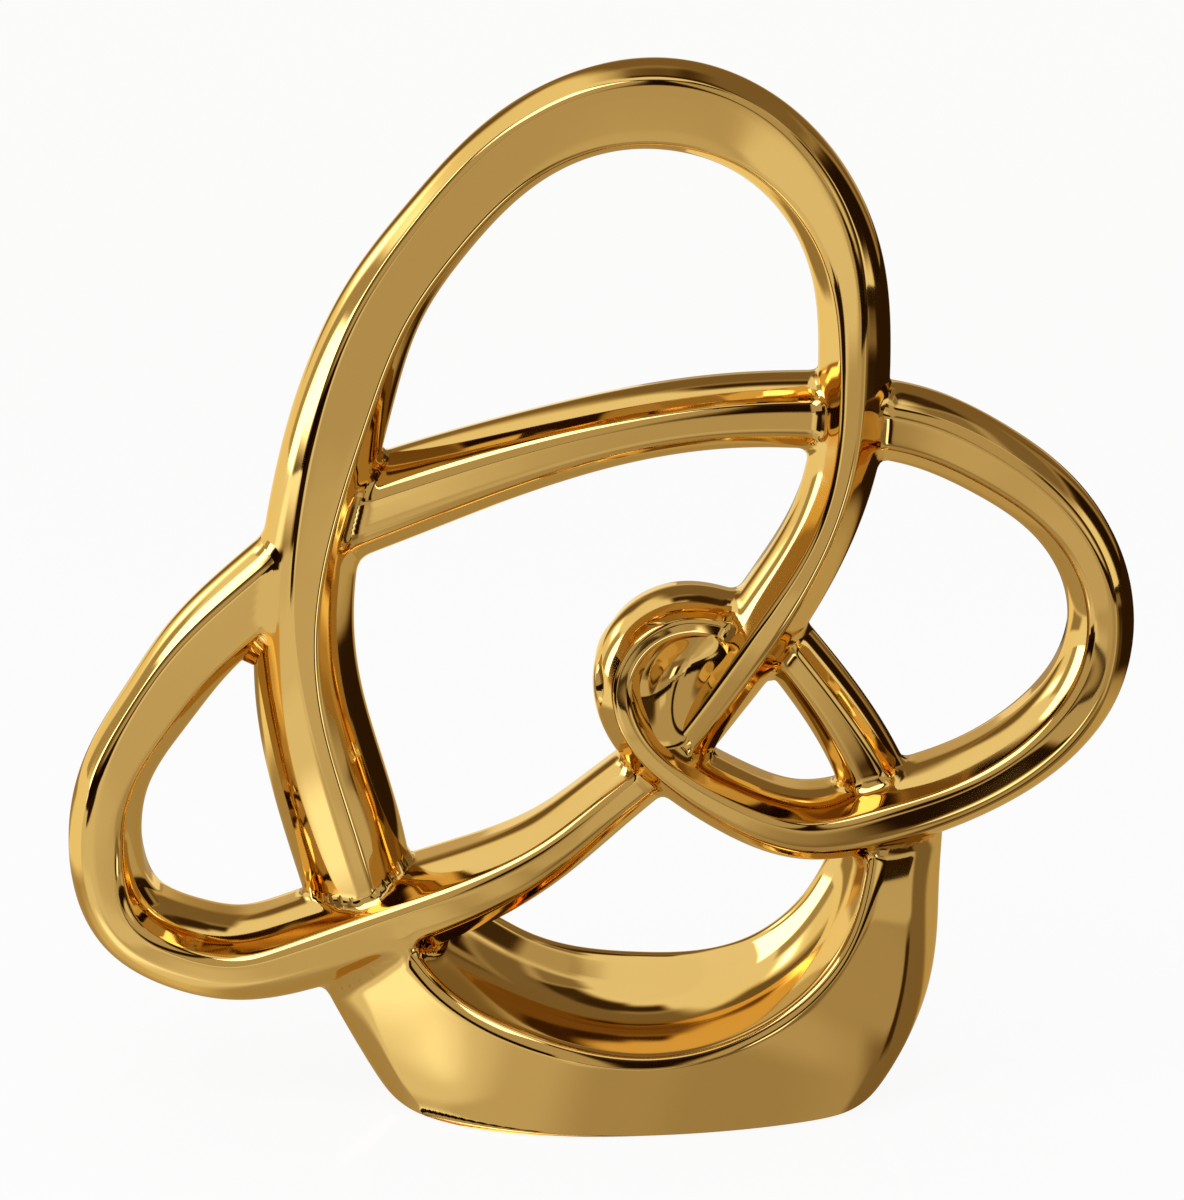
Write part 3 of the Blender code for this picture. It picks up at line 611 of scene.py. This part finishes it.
def webSkin(own, neighbours):
    # a lens over the curl's hollow: on an even grid the luted surface is cast from the
    # middle plane, averaged so that hollows fill and edges sink, and read between grid
    # points; the lens closes to the middle plane at its rim
    centre, spread, count = np.array(curlWeb["centre"]), curlWeb["spread"], curlWeb["castPoints"]
    reach = np.array(curlWeb["reach"]) * spread
    x, z = (np.linspace(-r, r, count) for r in (reach[0], reach[2]))
    grid = np.stack(np.broadcast_arrays(x[None], 0.0, z[:, None]), 2).reshape(-1, 3) + centre
    rows = centre + (webRows() - centre) * np.array([spread, 1.0, spread])
    place = (rows - centre)[..., [0, 2]] / reach[[0, 2]] * (count - 1) / 2 + (count - 1) / 2
    low = np.clip(place.astype(int), 0, count - 2)
    i, j = low[..., 0], low[..., 1]
    a, b = place[..., 0] - i, place[..., 1] - j
    fromRim = np.abs(rows[..., 1] - centre[1]) / curlWeb["reach"][1]
    closing = np.clip(fromRim * curlWeb["closing"], 0, 1)
    for side in (-1.0, 1.0):
        out = np.broadcast_to(np.array([0.0, side, 0.0]), grid.shape)
        shift = wayOut(grid, out, own, neighbours, curlWeb["castReach"])
        height = (grid + out * shift[:, None])[:, 1].reshape(count, count) - centre[1]
        height = averaged(height, curlWeb["smoothing"])
        read = ((height[j, i] * (1 - a) + height[j, i + 1] * a) * (1 - b)
                + (height[j + 1, i] * (1 - a) + height[j + 1, i + 1] * a) * b)
        read = (read - side * curlWeb["sunk"]) * closing
        onSide = (rows[..., 1] - centre[1]) * side > 0
        rows[..., 1] = np.where(onSide, centre[1] + read, rows[..., 1])
    return rows


routes = {"tallLoop": tallLoopRoute, "leftLoop": leftLoopRoute, "crossBar": crossBarRoute,
          "rightLoop": rightLoopRoute, "rearLink": rearLinkRoute}
fields = {name: strandField(route) for name, route in routes.items()}
fields["cradle"], fields["curlWeb"] = cradleField(), webField()
rows = {name: strandRows(route) for name, route in routes.items()}
rows["cradle"], rows["curlWeb"] = cradleRows(), webRows()

luted = {}
for name, skin in rows.items():
    neighbours = []
    for pair, width in fillets.items():
        if name in pair and (name == "curlWeb" or "curlWeb" not in pair):  # only the web blends
            other = pair[1 - pair.index(name)]
            near = boxed(fields[other], rows[other], luting["margin"] * width)
            neighbours.append((near, width))
    if name == "curlWeb":
        luted[name] = webSkin(fields[name], neighbours)
    else:
        luted[name] = luteSkin(skin, fields[name], neighbours)
    print("luted", name, skin.shape)
luted["cradle"] = footUnder(luted["cradle"])


# ---------- materials ----------

def goldLustre(name):
    # gold lustre fired on a glossy glaze: a mirror with a faint ripple from the glaze
    # under it, slightly deeper in colour where the lustre pooled
    material = bpy.data.materials.new(name)
    material.use_nodes = True
    tree = material.node_tree
    shader = tree.nodes["Principled BSDF"]
    place = addNode(tree, "ShaderNodeTexCoord").outputs["Object"]
    pool = addNode(tree, "ShaderNodeTexNoise", {"Scale": 22.0, "Detail": 2.0}, {"Vector": place})
    tone = addNode(tree, "ShaderNodeMix", {"data_type": "RGBA"}, {"Factor": pool.outputs["Fac"]})
    tone.inputs[6].default_value = hexToLinear("#e5c381")
    tone.inputs[7].default_value = hexToLinear("#ebc988")
    tree.links.new(tone.outputs[2], shader.inputs["Base Color"])
    haze = addNode(tree, "ShaderNodeTexNoise", {"Scale": 60.0, "Detail": 3.0}, {"Vector": place})
    rough = addNode(tree, "ShaderNodeMapRange", {"From Min": 0.3, "From Max": 0.7, "To Min": 0.035,
                                                 "To Max": 0.075}, {"Value": haze.outputs["Fac"]})
    tree.links.new(rough.outputs["Result"], shader.inputs["Roughness"])
    ripple = addNode(tree, "ShaderNodeTexNoise", {"Scale": 70.0, "Detail": 1.0}, {"Vector": place})
    bump = addNode(tree, "ShaderNodeBump", {"Strength": 0.25, "Distance": 0.0001},
                   {"Height": ripple.outputs["Fac"]})
    tree.links.new(bump.outputs["Normal"], shader.inputs["Normal"])
    shader.inputs["Metallic"].default_value = 1.0
    shader.inputs["Specular Tint"].default_value = hexToLinear("#fbe6bd")
    return material


def plainMatt(name, code, roughness, scale, height):
    # moulded soft goods: matt, with a fine grain
    material = bpy.data.materials.new(name)
    material.use_nodes = True
    tree = material.node_tree
    shader = tree.nodes["Principled BSDF"]
    shader.inputs["Base Color"].default_value = hexToLinear(code)
    shader.inputs["Roughness"].default_value = roughness
    place = addNode(tree, "ShaderNodeTexCoord").outputs["Object"]
    grain = addNode(tree, "ShaderNodeTexNoise", {"Scale": scale, "Detail": 2.0}, {"Vector": place})
    bump = addNode(tree, "ShaderNodeBump", {"Strength": 0.5, "Distance": height},
                   {"Height": grain.outputs["Fac"]})
    tree.links.new(bump.outputs["Normal"], shader.inputs["Normal"])
    return material


gold = goldLustre("goldLustreOnGlaze")
foam = plainMatt("padFoam", "#2b2b2b", 0.9, 2500.0, 0.0001)
silicone = plainMatt("plugSilicone", "#e3ded2", 0.55, 900.0, 0.00005)

slots = {"tallLoop": "tall_loop", "leftLoop": "left_loop", "crossBar": "cross_bar",
         "rightLoop": "right_loop", "rearLink": "rear_link", "cradle": "base_cradle",
         "curlWeb": "right_loop"}
for name, skin in luted.items():
    finishPiece(skinMesh(name, skin), gold, "gold_lustre", slots[name])
print("castings made")


# ---------- vent plug and pads ----------

footPad = {"radius": 5.5, "thickness": 2.0, "edge": 0.5, "spreadX": 31.0, "spreadY": 17.0}
ventPlug = {"flange": 6.5, "stem": 3.7, "low": 1.0, "top": 2.0, "stemTop": 8.0}
boreRadius = 0.5  # the fans close this much at the middle of each turned piece


def revolve(name, profile, centre, sides=64):  # profile of (radius, height) turned about Z
    turn = np.linspace(0, 2 * np.pi, sides, endpoint=False)
    radius, height = np.array(profile, float).T
    rows = np.stack([centre[0] + radius[:, None] * np.cos(turn),
                     centre[1] + radius[:, None] * np.sin(turn), height[:, None] + 0 * turn], 2)
    return skinMesh(name, rows)


def padProfile():  # a disc whose two edges turn through a quarter circle each
    radius, thick, edge = footPad["radius"], footPad["thickness"], footPad["edge"]
    arc = np.linspace(0, np.pi / 2, 6)
    rim = radius - edge
    return ([(boreRadius, 0.0), (rim, 0.0)]
            + [(rim + edge * math.sin(a), edge - edge * math.cos(a)) for a in arc[1:]]
            + [(rim + edge * math.cos(a), thick - edge + edge * math.sin(a)) for a in arc]
            + [(boreRadius, thick)])


def plugProfile():  # a domed flange with a dimple, and a plain stem
    flange, stem, low, top = (ventPlug[k] for k in ("flange", "stem", "low", "top"))
    return [(boreRadius, low), (1.6, low), (1.9, low + 0.25), (flange - 0.8, low + 0.1),
            (flange - 0.3, low + 0.2), (flange, low + 0.5), (flange, top), (stem, top),
            (stem, ventPlug["stemTop"]), (boreRadius, ventPlug["stemTop"])]


hubX = cradleShape["hub"][0]
number = 0
for sideY in (-1, 1):
    for sideX in (-1, 1):
        number += 1
        centre = (hubX + sideX * footPad["spreadX"], sideY * footPad["spreadY"])
        pad = revolve(f"footPad{number}", padProfile(), centre)
        finishPiece(pad, foam, "pad_foam", f"foot_pad_{number}")
plug = revolve("ventPlug", plugProfile(), (hubX, 0.0))
finishPiece(plug, silicone, "plug_silicone", "vent_plug")
print("plug and pads made")


# ---------- studio ----------

# What the mirror finish reflects: a tent round the object, and painted light and shade on the
# table, both of which only reflections see. Each patch of the tent: azimuth range in degrees (0 is
# the camera's side, + to the right), elevation range, level, softness of its edge in degrees. Each
# patch of painted light and shade on the table: azimuth range, range of distance in metres, level,
# softness of its sides in degrees. Later patches cover earlier ones.
tent = {
    "radius": 4.0,
    "height": 0.12,
    "strength": 0.78,
    "middle": 0.65,  # level that the contrast leaves as it is
    "contrast": 1.3,
    "behind": 1.08,
    "patches": [
        (-104, 106, -95, 95, 0.66, 5),  # grey front of the tent
        (40, 62, 0, 20, 0.93, 4),
        (-100, -66, -10, 40, 0.3, 6),  # dim room at the camera's left
        (-108, -22, -10, 7, 0.03, 2),
        (-14, 22, -8, 0, 0.04, 1.5),  # camera's stand
        (22, 104, -8, 5, 0.04, 2),  # dim room at the camera's right
        (72, 104, -10, 40, 0.12, 4),
        (-200, 200, 66, 95, 1.05, 4),  # lighter roof
        (-100, 100, 64, 77, 0.05, 3),  # gap under the roof
        (-70, -40, 61, 67, 1.5, 2),
        (-170, -152, -10, 10, 2.3, 2),  # rim light at the left, and the tent's edges
        (-152, -114, 9, 21, 1.35, 4),
        (-144, -134, 12, 19, 2.6, 3),
        (-131, -121, -10, 24, 0.6, 2),
        (-121, -110, -40, 36, 2.5, 1.5),
        (-107, -92, 7, 50, 0.06, 3),
        (-160, -152, 12, 20, 0.35, 2),
        (108, 168, -40, 24, 0.1, 4),  # black board at the right
        (106, 117, -30, 36, 1.1, 2),  # and the bright gap before it
        (118, 135, -40, 24, 0.05, 2),
        (137, 145, -10, 24, 0.5, 2),
        (110, 166, 24, 45, 0.36, 5),
        (130, 170, 43, 61, 0.12, 4),
        (110, 130, 46, 66, 0.42, 4),
        (146, 200, -10, 46, 0.35, 6),  # grey board behind
        (-200, -166, -10, 46, 0.35, 6),
        (-168, -150, -10, 26, 0.3, 5),
        (155, 200, -10, 5, 0.75, 4),  # and the lit sill under it
        (-200, -160, -10, 5, 0.75, 4),
        (150, 200, 46, 58, 0.1, 4),
        (-200, -170, 46, 58, 0.1, 4),
        (-2, 10, 3, 64, 0.04, 3),  # camera and its stand
    ],
}
# painted light and shade on the table, seen only in reflections: pools of light where it is lit,
# dark bands where it is not
paintedTableLight = {
    "near": 0.6,
    "softness": 0.1,  # of a distance
    "patches": [
        (-200, -100, 0.25, 9.0, 1.1, 8),  # lit from behind on the left
        (-160, -130, 0.27, 0.56, 0.5, 4),
        (-112, -104, 1.1, 9.0, 1.4, 2),
        (-100, -8, 0.14, 9.0, 0.92, 9),
        (-60, -14, 0.0, 0.25, 0.76, 12),
        (-96, -46, 0.1, 0.3, 1.0, 10),
        (-80, -56, 0.135, 0.2, 1.4, 6),
        (-8, 30, 0.2, 9.0, 0.68, 6),
        (-14, 16, 0.24, 0.54, 0.78, 6),
        (-20, -4, 0.6, 9.0, 1.0, 5),  # shine of the low softbox
        (14, 66, 0.14, 0.42, 0.37, 6),
        (17, 28, 0.26, 0.6, 0.05, 2),  # dark and bright edge beside the flat faces
        (30, 42, 0.22, 0.5, 1.7, 2),
        (20, 56, 0.0, 0.14, 0.56, 8),
        (40, 62, 0.1, 0.14, 0.68, 6),
        (66, 106, 0.0, 9.0, 0.36, 2),
        (55, 75, 0.13, 0.3, 0.6, 4),
        (74, 82, 0.1, 0.25, 0.1, 2),
        (66, 84, 0.3, 9.0, 0.75, 4),
        (106, 160, 0.0, 0.3, 0.7, 4),
        (106, 165, 0.36, 9.0, 0.07, 4),
        (104, 112, 1.1, 2.0, 0.4, 2),
        (-68, -30, 0.6, 9.0, 0.05, 4),  # table's end
        (-100, -20, 1.15, 9.0, 0.05, 4),
        (22, 104, 1.6, 9.0, 0.05, 4),
    ],
}
lampTint = {"green": 0.84, "greenPower": 0.25, "blue": 0.52, "bluePower": 0.6}


def maths(tree, operation, first, second):
    inputs = {0: first, 1: second}
    fixed = {i: float(v) for i, v in inputs.items() if isinstance(v, (int, float))}
    sockets = {i: v for i, v in inputs.items() if i not in fixed}
    return addNode(tree, "ShaderNodeMath", {"operation": operation, **fixed}, sockets).outputs[0]


def patchLevel(tree, across, upward, base, patches, rise):
    # each patch is a product of four smooth steps, mixed over the patches before it
    def step(value, at, soft):
        node = addNode(tree, "ShaderNodeMapRange",
                       {"interpolation_type": "SMOOTHSTEP", "From Min": at - soft,
                        "From Max": at + soft}, {"Value": value})
        return node.outputs["Result"]

    light = addNode(tree, "ShaderNodeValue").outputs[0]
    light.default_value = base
    for left, right, low, high, level, soft in patches:
        width = maths(tree, "SUBTRACT", step(across, left, soft), step(across, right, soft))
        height = maths(tree, "SUBTRACT", step(upward, low, rise(low, soft)),
                       step(upward, high, rise(high, soft)))
        mix = addNode(tree, "ShaderNodeMix", {"data_type": "FLOAT"})
        tree.links.new(maths(tree, "MULTIPLY", width, height), mix.inputs[0])
        tree.links.new(light, mix.inputs[2])
        mix.inputs[3].default_value = level
        light = mix.outputs[0]
    return light


def lampGlow(tree, level):
    # a warm dim room and cooler lamps: with r = level / middle, red is middle * r^contrast,
    # green 0.84 * red * r^0.25 and blue 0.52 * red * r^0.6
    share = maths(tree, "DIVIDE", level, tent["middle"])
    red = maths(tree, "MULTIPLY", maths(tree, "POWER", share, tent["contrast"]), tent["middle"])
    green, blue = (
        maths(tree, "MULTIPLY", maths(tree, "MULTIPLY", red, lampTint[name]),
              maths(tree, "POWER", share, lampTint[name + "Power"])) for name in ("green", "blue"))
    colour = addNode(tree, "ShaderNodeCombineColor", None, {0: red, 1: green, 2: blue}).outputs[0]
    return addNode(tree, "ShaderNodeEmission", {"Strength": tent["strength"]}, {"Color": colour})


def polar(tree):  # azimuth in degrees, distance from the axis and height over the centre
    place = addNode(tree, "ShaderNodeTexCoord").outputs["Object"]
    x, y, z = addNode(tree, "ShaderNodeSeparateXYZ", None, {0: place}).outputs
    angle = maths(tree, "ARCTAN2", x, maths(tree, "MULTIPLY", y, -1))
    squares = maths(tree, "ADD", maths(tree, "MULTIPLY", x, x), maths(tree, "MULTIPLY", y, y))
    away = maths(tree, "SQRT", squares, 0)
    azimuth = maths(tree, "MULTIPLY", angle, 180 / math.pi)
    return azimuth, away, maths(tree, "SUBTRACT", z, tent["height"])


def seenDirectly(tree, path):  # 1 for camera, glossy and transmission rays, otherwise 0
    seen = path.outputs["Is Camera Ray"]
    for kind in ("Is Glossy Ray", "Is Transmission Ray"):
        seen = maths(tree, "MAXIMUM", seen, path.outputs[kind])
    return seen


def openSheet(name, grid):
    count, wide = grid.shape[:2]
    row, col = np.meshgrid(np.arange(count - 1), np.arange(wide - 1), indexing="ij")
    corner = row * wide + col
    faces = np.stack([corner, corner + 1, corner + wide + 1, corner + wide], -1).reshape(-1, 4)
    sheet = linkMesh(name, grid.reshape(-1, 3), faces.tolist())
    return sheet


def ballSheet(name, radius, height):  # sphere: radius times (sin a cos e, -cos a cos e, sin e)
    a = np.linspace(-np.pi, np.pi, 97)[None]
    e = np.linspace(-np.pi / 2, np.pi / 2, 49)[:, None]
    way = np.stack([np.sin(a) * np.cos(e), -np.cos(a) * np.cos(e), np.sin(e) + 0 * a], 2)
    return openSheet(name, way * radius + np.array([0.0, 0.0, height]))


tentCloth = bpy.data.materials.new("tentCloth")
tree = newTree(tentCloth)
azimuth, away, height = polar(tree)
elevation = maths(tree, "MULTIPLY", maths(tree, "ARCTAN2", height, away), 180 / math.pi)
level = patchLevel(tree, azimuth, elevation, tent["behind"], tent["patches"],
                   lambda at, soft: soft)
addNode(tree, "ShaderNodeOutputMaterial", None, {"Surface": lampGlow(tree, level).outputs[0]})
cloth = ballSheet("tent", tent["radius"], tent["height"])
cloth.data.materials.append(tentCloth)
cloth.visible_camera = cloth.visible_diffuse = cloth.visible_shadow = False
cloth.visible_transmission = cloth.visible_volume_scatter = False

# floor: pale gloss board that keeps the shadow and a faint mirror image; reflections see painted
# light and shade on it instead
floorBoard = {"reach": 6.0, "tone": "#f4f4f4", "roughness": 0.08, "specular": 0.5,
              "whiteShare": 0.92}  # of plain white in what the camera sees
white = (1.0, 1.0, 1.0, 1.0)
side = np.linspace(-floorBoard["reach"], floorBoard["reach"], 3)
floorGrid = np.stack(np.meshgrid(side, side) + [np.zeros((3, 3))], 2)
floor = openSheet("floor", floorGrid)
floorBoardAndPaintedLight = bpy.data.materials.new("glossBoardAndPaintedLight")
tree = newTree(floorBoardAndPaintedLight)
board = addNode(tree, "ShaderNodeBsdfPrincipled", {
    "Base Color": hexToLinear(floorBoard["tone"]), "Roughness": floorBoard["roughness"],
    "Specular IOR Level": floorBoard["specular"]})
plain = addNode(tree, "ShaderNodeEmission", {"Color": white, "Strength": 1.0})
path = addNode(tree, "ShaderNodeLightPath")
share = maths(tree, "MULTIPLY", seenDirectly(tree, path), floorBoard["whiteShare"])
mixed = addNode(tree, "ShaderNodeMixShader", None,
                {0: share, 1: board.outputs[0], 2: plain.outputs[0]})
# painted light and shade of the table, which glossy rays see in place of the board
azimuth, away, _ = polar(tree)
level = patchLevel(tree, azimuth, away, paintedTableLight["near"], paintedTableLight["patches"],
                   lambda at, soft: max(at, 0.01) * paintedTableLight["softness"])
mixed = addNode(tree, "ShaderNodeMixShader", None,
                {0: path.outputs["Is Glossy Ray"], 1: mixed.outputs[0],
                 2: lampGlow(tree, level).outputs[0]})
addNode(tree, "ShaderNodeOutputMaterial", None, {"Surface": mixed.outputs[0]})
floor.data.materials.append(floorBoardAndPaintedLight)

world = bpy.data.worlds.new("studioWorld")
bpy.context.scene.world = world
tree = newTree(world)
seen = seenDirectly(tree, addNode(tree, "ShaderNodeLightPath"))
back = addNode(tree, "ShaderNodeBackground", {"Color": white, "Strength": 1.0})
fill = addNode(tree, "ShaderNodeBackground", {"Color": white, "Strength": 0.75})
mixed = addNode(tree, "ShaderNodeMixShader", None,
                {0: seen, 1: fill.outputs[0], 2: back.outputs[0]})
addNode(tree, "ShaderNodeOutputWorld", None, {"Surface": mixed.outputs[0]})


def aimed(name, data, place, target):  # a lamp or camera at a place, turned to a target
    thing = bpy.data.objects.new(name, data)
    thing.location = place
    thing.rotation_euler = (Vector(target) - Vector(place)).to_track_quat("-Z", "Y").to_euler()
    bpy.context.scene.collection.objects.link(thing)
    return thing


softbox = {"from": (-0.7, -0.5, 1.5), "to": (0.0, 0.0, 0.1), "size": 0.9, "energy": 6.0}
lamp = bpy.data.lights.new("softbox", "AREA")
lamp.shape, lamp.size, lamp.size_y = "RECTANGLE", softbox["size"], softbox["size"]
lamp.energy, lamp.specular_factor = softbox["energy"], 0.0
aimed("softbox", lamp, softbox["from"], softbox["to"])

bpy.context.scene.view_settings.view_transform = "Standard"
view = {"from": (-0.0015, -0.950, 0.370), "to": (-0.0015, 0.0, 0.121), "lens": 123.54,
        "sensor": 36.0, "farthest": 50.0}
lens = bpy.data.cameras.new("camera")
lens.lens, lens.sensor_width, lens.clip_end = view["lens"], view["sensor"], view["farthest"]
bpy.context.scene.camera = aimed("camera", lens, view["from"], view["to"])
print("studio made")
